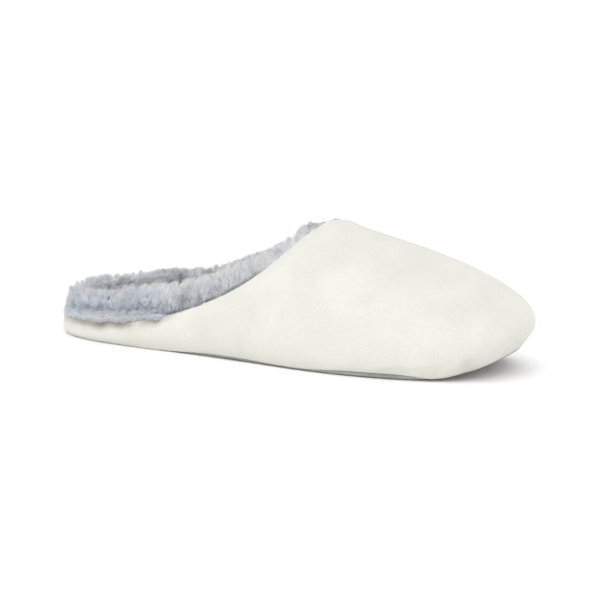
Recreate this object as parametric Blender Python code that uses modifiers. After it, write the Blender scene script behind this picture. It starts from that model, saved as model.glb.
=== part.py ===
"""House slipper for the right foot: velvet upper, deep fur collar, fur footbed and a thin bending sole.

Metres, +Z up. +X points to the toe, +Y to the inner (medial) side. The sole stands on z = 0.
"""
from collections import namedtuple

import bmesh
import bpy
import numpy as np

# Driving sizes
LENGTH = 0.265
BALL_WIDTH = 0.097
INSTEP_HEIGHT = 0.0715
HEEL_FUR_HEIGHT = 0.016
WALL = 0.0025
SEAM_GAP = 0.0003
ORIGIN_ALONG = 0.502

# Sole: flat under heel and ball, a shallow arch between them, sprung up at the toe
SOLE_THICKNESS = 0.003
SOLE_INSET = 0.0006
TOE_SPRING = 0.012
SPRING_START = 0.78
SPRING_END = 0.98
SPRING_POWER = 2.6
ARCH_RISE = 0.0006
ARCH_BACK = 0.30
ARCH_FRONT = 0.58

# Footbed
INSOLE_EDGE = 0.0044
INSOLE_CROWN = 0.0018
INSOLE_FADE = 0.15
TUFT_HEIGHT = 0.0007
TUFT_PITCH = 0.014

# Fur collar
FUR_THICKNESS = 0.011
FUR_PROUD = 0.0012
LOCKS = 56
LOCK_STATIONS = 3
LOCK_DEPTH = 0.0011
LINING_GAP = 0.0008

# Mesh counts; stations are multiples of the sixteen ribs round the shoe
UPPER_STATIONS = 112
UPPER_STEPS = 11
UPPER_CROWD = 1.15
PLATE_STATIONS = 80
PLATE_ACROSS = 5
INSOLE_ACROSS = 8
RIB_SAMPLES = 33
FINE_STATIONS = 640

# Ribs of the upper, heel to toe. Each runs from the sole's edge to the collar's edge.
# along, top_along, fore: shares of LENGTH. lateral, medial, bulge, top_across, side: shares of BALL_WIDTH.
# rise, top_up, drop: shares of INSTEP_HEIGHT.
Rib = namedtuple("Rib", "place along lateral medial bulge rise top_along top_across top_up fore side drop")
RIBS = (
    Rib("heel_back", 0.014, 0.000, 0.000, 0.04, 0.00, 0.005, 0.000, 0.150, 0.000, 0.000, 0.04),
    Rib("heel_corner", 0.055, 0.285, 0.280, 0.04, 0.00, 0.058, 0.305, 0.145, 0.000, 0.000, 0.04),
    Rib("heel_side", 0.170, 0.390, 0.380, 0.05, 0.00, 0.175, 0.415, 0.165, 0.000, 0.005, 0.05),
    Rib("waist", 0.330, 0.420, 0.390, 0.05, 0.06, 0.310, 0.437, 0.295, 0.010, 0.020, 0.10),
    Rib("instep", 0.500, 0.465, 0.435, 0.06, 0.14, 0.455, 0.420, 0.575, 0.025, 0.060, 0.13),
    Rib("ball", 0.670, 0.500, 0.500, 0.085, 0.20, 0.540, 0.345, 0.845, 0.060, 0.145, 0.125),
    Rib("toe_side", 0.840, 0.415, 0.440, 0.15, 0.25, 0.572, 0.230, 0.950, 0.170, 0.210, 0.18),
    Rib("toe_corner", 0.942, 0.235, 0.285, 0.24, 0.30, 0.583, 0.110, 0.975, 0.235, 0.125, 0.17),
    Rib("toe_tip", 0.978, -0.030, 0.030, 0.28, 0.32, 0.586, 0.000, 0.980, 0.275, 0.000, 0.16),
)

# Fur collar at each rib. stand: height beyond the upper's edge, in shares of HEEL_FUR_HEIGHT.
# lean: how far its top leans inward, in shares of the stand. thick: shares of FUR_THICKNESS.
# lining: length down the inside of the wall, in metres.
Fur = namedtuple("Fur", "place stand lean thick lining")
FURS = (
    Fur("heel_back", 1.00, 0.25, 1.00, 0.0008),
    Fur("heel_corner", 1.05, 0.20, 1.00, 0.0008),
    Fur("heel_side", 1.15, 0.10, 1.00, 0.0012),
    Fur("waist", 1.10, 0.10, 0.95, 0.007),
    Fur("instep", 0.95, 0.05, 0.85, 0.012),
    Fur("ball", 0.75, 0.10, 0.75, 0.012),
    Fur("toe_side", 0.55, 0.40, 0.70, 0.012),
    Fur("toe_corner", 0.40, 0.60, 0.68, 0.012),
    Fur("toe_tip", 0.40, 0.60, 0.68, 0.012),
)

# Section of the collar, from its outer lip over the top and down to the lining.
# beyond: share of the stand; proud: share of FUR_PROUD outward; across: share of the thickness inward;
# lock: how far the locks move the point.
Lip = namedtuple("Lip", "beyond proud across lock")
LIPS = (
    Lip(0.00, 0.7, 0.00, 0.2),
    Lip(0.30, 1.2, 0.00, 0.8),
    Lip(0.65, 0.9, 0.00, 1.0),
    Lip(0.92, 0.0, 0.15, 1.0),
    Lip(1.00, 0.0, 0.40, 1.0),
    Lip(0.88, 0.0, 0.70, 1.0),
    Lip(0.50, 0.0, 0.92, 0.8),
)
# Lower inner part of the collar, lying along the inside of the wall.
# down: share of the lining length; across: share of the thickness.
Under = namedtuple("Under", "down across")
UNDERS = (
    Under(0.3, 0.95),
    Under(1.0, 0.70),
)

# Levels of the sole and footbed edges: height as a share of the thickness, inset in metres
Level = namedtuple("Level", "height inset")
SOLE_LEVELS = (
    Level(0.00, 0.0010),
    Level(0.25, 0.0003),
    Level(0.60, 0.0000),
    Level(1.00, 0.0003),
)
INSOLE_LEVELS = (
    Level(0.00, 0.0004),
    Level(0.50, 0.0000),
    Level(0.85, 0.0006),
    Level(1.00, 0.0022),
)


def both_sides(lateral, medial):
    """Values round the shoe: heel to toe on the lateral side, then back along the medial side."""
    return np.array(list(lateral) + list(medial[-2:0:-1]))


def column(rows, name):
    return np.array([getattr(row, name) for row in rows])


def round_spline(values, places):
    """Closed cubic spline through rows of values, read at places counted in rows."""
    values = np.asarray(values, float)
    rows = len(values)
    eye = np.eye(rows)
    bend = np.linalg.solve(
        4.0 * eye + np.roll(eye, 1, 0) + np.roll(eye, -1, 0),
        6.0 * (np.roll(values, -1, 0) - 2.0 * values + np.roll(values, 1, 0)),
    )
    low = np.floor(places).astype(int) % rows
    high = (low + 1) % rows
    part = (places - np.floor(places))[:, None]
    rest = 1.0 - part
    curve = bend[low] * rest ** 3 / 6.0 + bend[high] * part ** 3 / 6.0
    curve += (values[low] - bend[low] / 6.0) * rest
    curve += (values[high] - bend[high] / 6.0) * part
    return curve


def unit(vectors):
    return vectors / np.linalg.norm(vectors, axis=-1, keepdims=True)


def sole_lift(x, y):
    """Height of the sole's underside over the floor: medial arch and toe spring."""
    along = x / LENGTH + ORIGIN_ALONG
    spring = np.clip((along - SPRING_START) / (SPRING_END - SPRING_START), 0.0, 1.2)
    arch = np.clip((along - ARCH_BACK) / (ARCH_FRONT - ARCH_BACK), 0.0, 1.0)
    medial = np.clip(0.5 + y / BALL_WIDTH, 0.0, 1.0)
    return TOE_SPRING * spring ** SPRING_POWER + ARCH_RISE * medial * np.sin(np.pi * arch) ** 2


def even_places(count):
    """Stations evenly spaced from rib to rib."""
    rows = 2 * len(RIBS) - 2
    return np.arange(count) * rows / count


def even_edge_places(count):
    """Stations evenly spaced by length along the collar's edge."""
    fine = even_places(FINE_STATIONS)
    edge = rib_controls(fine)[3]
    legs = np.linalg.norm(np.roll(edge, -1, 0) - edge, axis=1)
    length = np.concatenate([[0.0], np.cumsum(legs)])
    rows = 2 * len(RIBS) - 2
    return np.interp(np.arange(count) * length[-1] / count, length, np.append(fine, rows))


def rib_controls(places):
    """Four control points of each rib: sole edge, bulge, crown, collar edge; and the plan's outward normal."""
    lateral = -np.ones(len(RIBS))
    sign = both_sides(lateral, -lateral)
    sizes = {}
    for name in ("along", "top_along", "fore"):
        sizes[name] = column(RIBS, name) * LENGTH
    for name in ("lateral", "medial", "bulge", "top_across", "side"):
        sizes[name] = column(RIBS, name) * BALL_WIDTH
    for name in ("rise", "top_up", "drop"):
        sizes[name] = column(RIBS, name) * INSTEP_HEIGHT
    pair = {name: both_sides(value, value) for name, value in sizes.items()}
    table = np.stack([
        pair["along"] - ORIGIN_ALONG * LENGTH,
        both_sides(-sizes["lateral"], sizes["medial"]),
        pair["bulge"],
        pair["rise"],
        pair["top_along"] - ORIGIN_ALONG * LENGTH,
        sign * pair["top_across"],
        pair["top_up"],
        pair["fore"],
        sign * pair["side"],
        pair["drop"],
    ], axis=1)
    x, y, bulge, rise, top_x, top_y, top_z, fore, side, drop = round_spline(table, places).T
    foot = np.stack([x, y, SOLE_THICKNESS + SEAM_GAP + sole_lift(x, y)], axis=1)
    step = np.roll(foot, -1, 0) - np.roll(foot, 1, 0)
    outward = unit(np.stack([step[:, 1], -step[:, 0], np.zeros(len(places))], axis=1))
    edge = np.stack([top_x, top_y, top_z], axis=1)
    belly = foot + outward * bulge[:, None]
    belly[:, 2] += rise
    crown = edge + np.stack([fore, side, -drop], axis=1)
    return foot, belly, crown, edge, outward


def rib_points(controls, shares):
    """Points on the ribs, one row of points for each station."""
    foot, belly, crown, edge = (part[:, None, :] for part in controls[:4])
    share = shares[..., None]
    rest = 1.0 - share
    return rest ** 3 * foot + 3 * rest ** 2 * share * belly + 3 * rest * share ** 2 * crown + share ** 3 * edge


def inward_normals(points):
    """Normals of a grid of rib points, turned to the inside of the shoe."""
    round_step = np.roll(points, -1, 0) - np.roll(points, 1, 0)
    rib_step = np.gradient(points, axis=1)
    return unit(np.cross(rib_step, round_step))


def add_material(name, colour, roughness):
    material = bpy.data.materials.new(name)
    material.use_nodes = True
    shader = material.node_tree.nodes["Principled BSDF"]
    shader.inputs["Base Color"].default_value = (*colour, 1.0)
    shader.inputs["Roughness"].default_value = roughness
    material.diffuse_color = (*colour, 1.0)
    return material


def add_object(name, points, faces, collection, material):
    """One named object from points and faces, with its faces turned outward."""
    mesh = bpy.data.meshes.new(name)
    mesh.from_pydata([tuple(point) for point in points], [], faces)
    body = bmesh.new()
    body.from_mesh(mesh)
    bmesh.ops.recalc_face_normals(body, faces=body.faces[:])
    body.to_mesh(mesh)
    body.free()
    mesh.shade_smooth()
    mesh.materials.append(material)
    item = bpy.data.objects.new(name, mesh)
    collection.objects.link(item)
    return item


def loft_round(name, sections, closed, collection, material):
    """Sections joined in a loop round the shoe: open ones make a skin, closed ones a solid ring."""
    stations, steps = sections.shape[:2]
    faces = []
    for station in range(stations):
        after = (station + 1) % stations
        for step in range(steps if closed else steps - 1):
            above = (step + 1) % steps
            faces.append((
                station * steps + step,
                after * steps + step,
                after * steps + above,
                station * steps + above,
            ))
    return add_object(name, sections.reshape(-1, 3), faces, collection, material)


def plate_solid(name, rings, top_across, top_height, collection, material):
    """Stacked outlines closed below by a plain face and above by a shaped one."""
    count = rings.shape[1]
    half = count // 2
    points = [tuple(point) for ring in rings for point in ring]
    faces = []
    for level in range(len(rings) - 1):
        for station in range(count):
            after = (station + 1) % count
            faces.append((
                level * count + station,
                level * count + after,
                (level + 1) * count + after,
                (level + 1) * count + station,
            ))

    def cover(level, across, height):
        start = level * count
        ring = rings[level]
        rows = [[start] * (across + 1)]
        for station in range(1, half):
            lateral = ring[station]
            medial = ring[count - station]
            row = [start + station]
            for step in range(1, across):
                share = step / across
                point = lateral + (medial - lateral) * share
                point[2] = height(point[0], point[1], share, ring[0][2])
                row.append(len(points))
                points.append(tuple(point))
            row.append(start + count - station)
            rows.append(row)
        rows.append([start + half] * (across + 1))
        for back, front in zip(rows[:-1], rows[1:]):
            for step in range(across):
                corners = (back[step], front[step], front[step + 1], back[step + 1])
                faces.append(tuple(dict.fromkeys(corners)))

    cover(0, PLATE_ACROSS, lambda x, y, share, base: base + sole_lift(x, y))
    cover(len(rings) - 1, top_across, top_height)
    return add_object(name, points, faces, collection, material)


def plate_rings(levels, thickness, base, inset):
    """Outlines of a plate that follows the sole, set in from the upper's edge."""
    foot, outward = rib_controls(even_places(PLATE_STATIONS))[::4]
    rings = []
    for level in levels:
        ring = foot - outward * (inset + level.inset)
        ring[:, 2] = base + level.height * thickness + sole_lift(ring[:, 0], ring[:, 1])
        rings.append(ring)
    return np.array(rings)


def make_outsole(collection):
    rings = plate_rings(SOLE_LEVELS, SOLE_THICKNESS, 0.0, SOLE_INSET)
    material = add_material("sole_grey_rubber", (0.22, 0.21, 0.20), 0.7)

    def flat(x, y, share, base):
        return base + sole_lift(x, y)

    return plate_solid("outsole", rings, PLATE_ACROSS, flat, collection, material)


def make_insole(collection):
    base = SOLE_THICKNESS + SEAM_GAP
    rings = plate_rings(INSOLE_LEVELS, INSOLE_EDGE, base, WALL + SEAM_GAP)
    material = add_material("footbed_grey_fur", (0.36, 0.38, 0.41), 0.95)
    wave = 2 * np.pi / TUFT_PITCH

    def crowned(x, y, share, level):
        from_end = 0.5 - abs(x / LENGTH)
        middle = (1.0 - (2.0 * share - 1.0) ** 2) * min(1.0, from_end / INSOLE_FADE)
        tuft = np.sin(wave * x + 2.0 * np.sin(wave * y / 2.0)) * np.sin(wave * y)
        return level + sole_lift(x, y) + middle * (INSOLE_CROWN + TUFT_HEIGHT * tuft)

    return plate_solid("insole", rings, INSOLE_ACROSS, crowned, collection, material)


def make_upper(collection):
    controls = rib_controls(even_places(UPPER_STATIONS))
    shares = np.linspace(0.0, 1.0, UPPER_STEPS)[None, :] ** UPPER_CROWD
    material = add_material("cream_velvet", (0.87, 0.85, 0.79), 0.85)
    upper = loft_round("upper", rib_points(controls, shares), False, collection, material)
    wall = upper.modifiers.new("wall", "SOLIDIFY")
    wall.thickness = WALL
    wall.offset = -1.0
    wall.use_even_offset = True
    return upper


def make_collar(collection):
    stations = LOCKS * LOCK_STATIONS
    places = even_edge_places(stations)
    controls = rib_controls(places)
    crown, edge = controls[2:4]
    rib_shares = np.linspace(0.0, 1.0, RIB_SAMPLES)[None, :]
    wall = rib_points(controls, rib_shares)
    normals = inward_normals(wall)
    beyond = unit(edge - crown)
    inward = unit(normals[:, -1] - beyond * np.sum(normals[:, -1] * beyond, axis=1, keepdims=True))
    fur = round_spline(np.stack([
        both_sides(column(FURS, "stand"), column(FURS, "stand")) * HEEL_FUR_HEIGHT,
        both_sides(column(FURS, "lean"), column(FURS, "lean")),
        both_sides(column(FURS, "thick"), column(FURS, "thick")) * FUR_THICKNESS,
        both_sides(column(FURS, "lining"), column(FURS, "lining")),
    ], axis=1), places)
    stand, lean, thick, lining = (fur[:, [index]] for index in range(4))
    lining = np.maximum(lining, SEAM_GAP)

    # length from the collar's edge back down each rib
    legs = np.linalg.norm(np.diff(wall, axis=1), axis=2)
    length_down = np.concatenate([np.cumsum(legs[:, ::-1], axis=1)[:, ::-1], np.zeros((stations, 1))], axis=1)

    def along_wall(down, across):
        """Point a length down the wall from its edge, and a depth in from its outer face."""
        found = np.empty((stations, 3))
        for station in range(stations):
            order = length_down[station, ::-1]
            spot = [np.interp(down[station, 0], order, wall[station, ::-1, axis]) for axis in range(3)]
            turn = [np.interp(down[station, 0], order, normals[station, ::-1, axis]) for axis in range(3)]
            found[station] = np.array(spot) + unit(np.array(turn)) * across[station, 0]
        return found

    # locks lean round the collar: each row of the section is a little behind the last
    number = np.arange(stations)
    phase = number * 2 * np.pi / LOCK_STATIONS
    uneven = 0.75 + 0.35 * np.sin(number * 0.83) * np.sin(number * 0.29 + 1.0)
    section = []
    for row, lip in enumerate(LIPS):
        lock = LOCK_DEPTH * lip.lock * (uneven * np.cos(phase + 0.9 * row))[:, None]
        raised = np.maximum(stand * lip.beyond + lock * lip.beyond, SEAM_GAP)
        depth = thick * lip.across - FUR_PROUD * lip.proud + raised * lean
        depth = depth + lock * np.sign(lip.across - 0.45) * 0.8
        section.append(edge + beyond * raised + inward * depth)
    for under in UNDERS:
        section.append(along_wall(lining * under.down, thick * under.across))
    clear = np.full((stations, 1), WALL + LINING_GAP)
    section.append(along_wall(lining, clear))
    section.append(along_wall(lining * 0.5, clear))
    section.append(edge + beyond * SEAM_GAP + inward * clear)
    sections = np.stack(section, axis=1)
    material = add_material("collar_grey_fur", (0.42, 0.44, 0.47), 0.95)
    return loft_round("collar", sections, True, collection, material)


def clear_scene():
    for item in list(bpy.data.objects):
        bpy.data.objects.remove(item, do_unlink=True)


def main():
    clear_scene()
    collection = bpy.data.collections.new("slipper")
    bpy.context.scene.collection.children.link(collection)
    make_outsole(collection)
    make_insole(collection)
    make_upper(collection)
    make_collar(collection)


main()
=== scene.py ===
"""Looks of the house slipper: cream velvet, blue-grey fur, dark sole, camera, floor and light.

Metres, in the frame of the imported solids: +X to the toe, +Y to the inner side, +Z up.
"""

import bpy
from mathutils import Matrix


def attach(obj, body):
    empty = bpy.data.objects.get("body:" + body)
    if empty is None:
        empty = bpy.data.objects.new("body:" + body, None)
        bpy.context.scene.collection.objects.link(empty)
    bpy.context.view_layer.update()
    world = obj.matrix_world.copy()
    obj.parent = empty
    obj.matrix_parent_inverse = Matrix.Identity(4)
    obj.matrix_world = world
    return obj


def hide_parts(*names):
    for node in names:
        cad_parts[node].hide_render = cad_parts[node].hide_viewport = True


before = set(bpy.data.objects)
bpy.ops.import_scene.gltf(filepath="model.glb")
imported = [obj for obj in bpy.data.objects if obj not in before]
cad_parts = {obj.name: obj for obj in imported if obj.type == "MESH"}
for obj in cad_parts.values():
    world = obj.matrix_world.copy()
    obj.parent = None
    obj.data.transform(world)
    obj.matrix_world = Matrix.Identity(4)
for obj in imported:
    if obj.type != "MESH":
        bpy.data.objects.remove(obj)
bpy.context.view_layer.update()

import math
from collections import namedtuple

import bpy
import numpy as np
from mathutils import Matrix, Vector, kdtree, noise

# Driving sizes, as in the solids
LENGTH = 0.265
BALL_WIDTH = 0.097
INSTEP_HEIGHT = 0.0715
HEEL_FUR_HEIGHT = 0.016
WALL = 0.0025
SEAM_GAP = 0.0003
ORIGIN_ALONG = 0.502
SOLE_THICKNESS = 0.003
SOLE_INSET = 0.0006
TOE_SPRING = 0.012
SPRING_START = 0.78
SPRING_END = 0.98
SPRING_POWER = 2.6
SPRING_LIMIT = 1.2
ARCH_RISE = 0.0006
ARCH_BACK = 0.30
ARCH_FRONT = 0.58
INSOLE_EDGE = 0.0044
INSOLE_CROWN = 0.0018
INSOLE_FADE = 0.15
FUR_THICKNESS = 0.011
FUR_PROUD = 0.0012
LINING_GAP = 0.0008

Rib = namedtuple("Rib", "place along lateral medial bulge rise top_along top_across top_up fore side drop")
RIBS = (
    Rib("heel_back", 0.014, 0.000, 0.000, 0.04, 0.00, 0.005, 0.000, 0.150, 0.000, 0.000, 0.04),
    Rib("heel_corner", 0.055, 0.285, 0.280, 0.04, 0.00, 0.058, 0.305, 0.145, 0.000, 0.000, 0.04),
    Rib("heel_side", 0.170, 0.390, 0.380, 0.05, 0.00, 0.175, 0.415, 0.165, 0.000, 0.005, 0.05),
    Rib("waist", 0.330, 0.420, 0.390, 0.05, 0.06, 0.310, 0.437, 0.295, 0.010, 0.020, 0.10),
    Rib("instep", 0.500, 0.465, 0.435, 0.06, 0.14, 0.455, 0.420, 0.575, 0.025, 0.060, 0.13),
    Rib("ball", 0.670, 0.500, 0.500, 0.085, 0.20, 0.540, 0.345, 0.845, 0.060, 0.145, 0.125),
    Rib("toe_side", 0.840, 0.415, 0.440, 0.15, 0.25, 0.572, 0.230, 0.950, 0.170, 0.210, 0.18),
    Rib("toe_corner", 0.942, 0.235, 0.285, 0.24, 0.30, 0.583, 0.110, 0.975, 0.235, 0.125, 0.17),
    Rib("toe_tip", 0.978, -0.030, 0.030, 0.28, 0.32, 0.586, 0.000, 0.980, 0.275, 0.000, 0.16),
)
# what each of a rib's sizes after its name is a share of
RIB_SCALES = (
    LENGTH, BALL_WIDTH, BALL_WIDTH, BALL_WIDTH, INSTEP_HEIGHT,
    LENGTH, BALL_WIDTH, INSTEP_HEIGHT, LENGTH, BALL_WIDTH, INSTEP_HEIGHT,
)
ROWS = 2 * len(RIBS) - 2

Fur = namedtuple("Fur", "place stand lean thick lining")
FURS = (
    Fur("heel_back", 1.00, 0.25, 1.00, 0.0008),
    Fur("heel_corner", 1.05, 0.20, 1.00, 0.0008),
    Fur("heel_side", 1.15, 0.10, 1.00, 0.0012),
    Fur("waist", 1.10, 0.10, 0.95, 0.007),
    Fur("instep", 0.95, 0.05, 0.85, 0.012),
    Fur("ball", 0.75, 0.10, 0.75, 0.012),
    Fur("toe_side", 0.55, 0.30, 0.70, 0.012),
    Fur("toe_corner", 0.45, 0.30, 0.68, 0.012),
    Fur("toe_tip", 0.45, 0.30, 0.68, 0.012),
)

Lip = namedtuple("Lip", "beyond proud across")
LIPS = (
    Lip(0.00, 0.7, 0.00),
    Lip(0.30, 1.2, 0.00),
    Lip(0.65, 0.9, 0.00),
    Lip(0.92, 0.0, 0.15),
    Lip(1.00, 0.0, 0.40),
    Lip(0.88, 0.0, 0.70),
    Lip(0.50, 0.0, 0.92),
)
Under = namedtuple("Under", "down across")
UNDERS = (
    Under(0.3, 0.95),
    Under(1.0, 0.70),
)

# Soft troughs in the velvet. place: ribs from the heel round the lateral side; share: way up the rib;
# run, across, depth: metres along the trough, across it, and into it; turn: degrees from the rib.
Crease = namedtuple("Crease", "place share run across depth turn")
CREASES = (
    Crease(6.60, 0.00, 0.0048, 0.0052, 0.0026, 12),
    Crease(5.84, 0.03, 0.0150, 0.0030, 0.0009, 86),
    Crease(6.16, 0.00, 0.0030, 0.0036, 0.0012, 0),
    Crease(5.70, 0.05, 0.0055, 0.0062, 0.0011, 8),
    Crease(6.58, 0.27, 0.0090, 0.0050, 0.0004, 5),
    Crease(7.30, 0.08, 0.0080, 0.0040, 0.0005, 50),
    Crease(4.35, 0.52, 0.0140, 0.0090, 0.0006, 30),
    Crease(3.60, 0.55, 0.0160, 0.0070, 0.0004, 60),
    Crease(2.72, 1.0, 0.0034, 0.0054, 0.0022, 15),
    Crease(2.15, 1.0, 0.0028, 0.0034, 0.0009, -15),
    Crease(1.72, 1.0, 0.0034, 0.0070, 0.0024, 5),
    Crease(9.45, 0.05, 0.0075, 0.0034, 0.0011, -60),
    Crease(10.20, 0.07, 0.0130, 0.0036, 0.0008, -82),
    Crease(11.60, 0.50, 0.0150, 0.0090, 0.0006, -32),
    Crease(13.30, 1.0, 0.0034, 0.0054, 0.0018, -18),
    Crease(14.35, 1.0, 0.0034, 0.0060, 0.0017, 14),
)

# How far the velvet hangs over the sole's edge, by place
Hem = namedtuple("Hem", "place drop")
HEMS = tuple(Hem(*row) for row in (
    (0.0, 0.0031), (2.6, 0.0031), (2.9, 0.0027), (3.3, 0.0013), (3.9, 0.0013), (4.2, 0.0020),
    (4.7, 0.0019), (5.1, 0.0003), (5.85, 0.0003), (6.05, 0.0033), (6.35, 0.0027), (6.65, 0.0024),
    (8.0, 0.0021), (9.5, 0.0020), (10.4, 0.0010), (11.2, 0.0008), (12.2, 0.0016), (13.2, 0.0009),
    (14.3, 0.0022), (16.0, 0.0031),
))

# Painted shade along the hem: how much darker the velvet is, by place, most in its puckers
HemShade = namedtuple("HemShade", "place dark")
HEM_SHADE_HEIGHT = 0.0032
HEM_SHADES = tuple(HemShade(*row) for row in (
    (0.0, 0.03), (2.8, 0.03), (3.3, 0.05), (5.3, 0.05), (5.55, 0.08), (5.70, 0.13),
    (5.86, 0.04), (6.30, 0.03), (6.48, 0.06), (6.60, 0.17), (6.72, 0.13), (6.85, 0.04),
    (9.30, 0.03), (9.45, 0.10), (9.60, 0.03), (16.0, 0.03),
))

# Fur standing higher or lower than the even band, by place, and the rise of its far end
# as a share of its height
Loft = namedtuple("Loft", "place extra lift")
LOFTS = tuple(Loft(*row) for row in (
    (0.0, -0.0024, 0.0), (1.3, -0.0012, 0.0), (1.7, -0.0004, 0.0), (2.1, 0.0010, 0.0),
    (2.6, 0.0010, 0.0), (3.0, -0.0008, 0.0), (3.6, -0.0016, 0.0), (4.0, -0.0008, 0.0),
    (4.7, -0.0026, 0.0), (5.1, -0.0032, 0.0), (5.6, -0.0004, 0.0), (6.2, 0.0026, 0.20),
    (6.8, 0.0032, 0.24), (7.2, -0.0008, 0.04), (7.6, -0.0034, 0.0), (8.0, -0.0042, -0.10),
    (9.0, -0.0038, -0.15), (9.8, -0.0024, -0.10), (10.6, -0.0006, 0.0), (12.5, -0.0004, 0.0),
    (13.3, -0.0018, 0.0), (13.8, 0.0004, 0.0), (14.3, 0.0004, 0.0), (14.8, -0.0014, 0.0),
    (15.4, -0.0018, 0.0), (16.0, -0.0024, 0.0),
))

# By place from the heel's back (0) to the throat's middle (8), alike on both sides.
# cut: velvet stopping short of the collar edge; hang: share of the fur's drooping fringe;
# tuck: hem drawn in under the heel; neutral: share of plain grey in the blue-grey fur;
# and the last: painted shade, how much darker the velvet is in the fold under the fringe
Edge = namedtuple("Edge", "place cut hang tuck neutral dim")
EDGES = (
    Edge(0.0, 0.0016, 0.00, 0.0012, 0.0, 0.05),
    Edge(0.8, 0.0016, 0.25, 0.0012, 0.0, 0.20),
    Edge(1.3, 0.0004, 1.00, 0.0010, 0.0, 0.38),
    Edge(2.0, 0.0002, 1.00, 0.0005, 0.0, 0.42),
    Edge(2.3, 0.0003, 1.00, 0.0003, 0.0, 0.34),
    Edge(2.45, 0.0004, 0.95, 0.0002, 0.0, 0.06),
    Edge(2.6, 0.0005, 0.90, 0.0, 0.0, 0.40),
    Edge(2.75, 0.0006, 0.80, 0.0, 0.0, 0.40),
    Edge(3.1, 0.0010, 0.00, 0.0, 0.4, 0.0),
    Edge(4.0, 0.0022, 0.00, 0.0, 0.7, 0.0),
    Edge(5.0, 0.0024, 0.00, 0.0, 1.0, 0.0),
    Edge(5.6, 0.0012, 0.00, 0.0, 1.0, 0.0),
    Edge(6.3, 0.0000, 0.00, 0.0, 0.9, 0.0),
    Edge(8.0, 0.0000, 0.00, 0.0, 0.9, 0.0),
)


def column(rows, name):
    return np.array([getattr(row, name) for row in rows])


def by_place(rows, places, name):
    """A column of a table, read between its rows at the given places."""
    return np.interp(places, column(rows, "place"), column(rows, name))


def from_heel(places):
    """Places counted from the heel's back on either side."""
    return np.minimum(places, ROWS - places)


def edge_value(places, name):
    return by_place(EDGES, from_heel(places), name)


def both_sides(lateral, medial):
    """Values round the shoe: heel to toe on the lateral side, then back along the medial side."""
    return np.array(list(lateral) + list(medial[-2:0:-1]))


def unit(vectors):
    return vectors / np.maximum(np.linalg.norm(vectors, axis=-1, keepdims=True), 1e-12)


def smooth(low, high, value):
    share = np.clip((value - low) / (high - low), 0.0, 1.0)
    return share * share * (3.0 - 2.0 * share)


def bell(value, middle, reach):
    return np.exp(-((value - middle) / reach) ** 2)


def round_spline(values, places):
    """Closed cubic spline through rows of values, read at places counted in rows."""
    values = np.asarray(values, float)
    rows = len(values)
    eye = np.eye(rows)
    bend = np.linalg.solve(
        4.0 * eye + np.roll(eye, 1, 0) + np.roll(eye, -1, 0),
        6.0 * (np.roll(values, -1, 0) - 2.0 * values + np.roll(values, 1, 0)),
    )
    low = np.floor(places).astype(int) % rows
    high = (low + 1) % rows
    part = (places - np.floor(places))[:, None]
    rest = 1.0 - part
    curve = bend[low] * rest ** 3 / 6.0 + bend[high] * part ** 3 / 6.0
    curve += (values[low] - bend[low] / 6.0) * rest
    curve += (values[high] - bend[high] / 6.0) * part
    return curve


def sole_lift(x, y):
    """Height of the sole's underside over the floor: medial arch and toe spring."""
    along = x / LENGTH + ORIGIN_ALONG
    spring = np.clip((along - SPRING_START) / (SPRING_END - SPRING_START), 0.0, SPRING_LIMIT)
    arch = np.clip((along - ARCH_BACK) / (ARCH_FRONT - ARCH_BACK), 0.0, 1.0)
    medial = np.clip(0.5 + y / BALL_WIDTH, 0.0, 1.0)
    return TOE_SPRING * spring ** SPRING_POWER + ARCH_RISE * medial * np.sin(np.pi * arch) ** 2


def even_places(count):
    return np.arange(count) * ROWS / count


EDGE_SAMPLES = 640


def even_edge_places(count):
    """Stations evenly spaced by length along the collar's edge."""
    fine = even_places(EDGE_SAMPLES)
    edge = rib_controls(fine)[3]
    legs = np.linalg.norm(np.roll(edge, -1, 0) - edge, axis=1)
    length = np.concatenate([[0.0], np.cumsum(legs)])
    return np.interp(np.arange(count) * length[-1] / count, length, np.append(fine, ROWS))


def rib_controls(places):
    """Four control points of each rib, sole edge to collar edge, and the plan's outward normal."""
    sizes = [column(RIBS, name) * scale for name, scale in zip(Rib._fields[1:], RIB_SCALES)]
    along, lateral, medial, bulge, rise, top_along, top_across, top_up, fore, side, drop = sizes
    start = ORIGIN_ALONG * LENGTH

    def half(sign, across):
        return np.stack([
            along - start, sign * across, bulge, rise,
            top_along - start, sign * top_across, top_up, fore, sign * side, drop,
        ], axis=1)

    table = both_sides(half(-1.0, lateral), half(1.0, medial))
    x, y, bulge, rise, top_x, top_y, top_z, fore, side, drop = round_spline(table, places).T
    foot = np.stack([x, y, SOLE_THICKNESS + SEAM_GAP + sole_lift(x, y)], axis=1)
    step = np.roll(foot, -1, 0) - np.roll(foot, 1, 0)
    outward = unit(np.stack([step[:, 1], -step[:, 0], np.zeros(len(places))], axis=1))
    edge = np.stack([top_x, top_y, top_z], axis=1)
    belly = foot + outward * bulge[:, None]
    belly[:, 2] += rise
    crown = edge + np.stack([fore, side, -drop], axis=1)
    return foot, belly, crown, edge, outward


def rib_points(controls, shares):
    """Points on the ribs, one row of points for each station."""
    foot, belly, crown, edge = (part[:, None, :] for part in controls[:4])
    share = shares[..., None]
    rest = 1.0 - share
    low = rest ** 3 * foot + 3 * rest ** 2 * share * belly
    return low + 3 * rest * share ** 2 * crown + share ** 3 * edge


def inward_normals(points):
    """Normals of a closed round of rib points, turned to the inside of the shoe."""
    round_step = np.roll(points, -1, 0) - np.roll(points, 1, 0)
    rib_step = np.gradient(points, axis=1)
    return unit(np.cross(rib_step, round_step))


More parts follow.
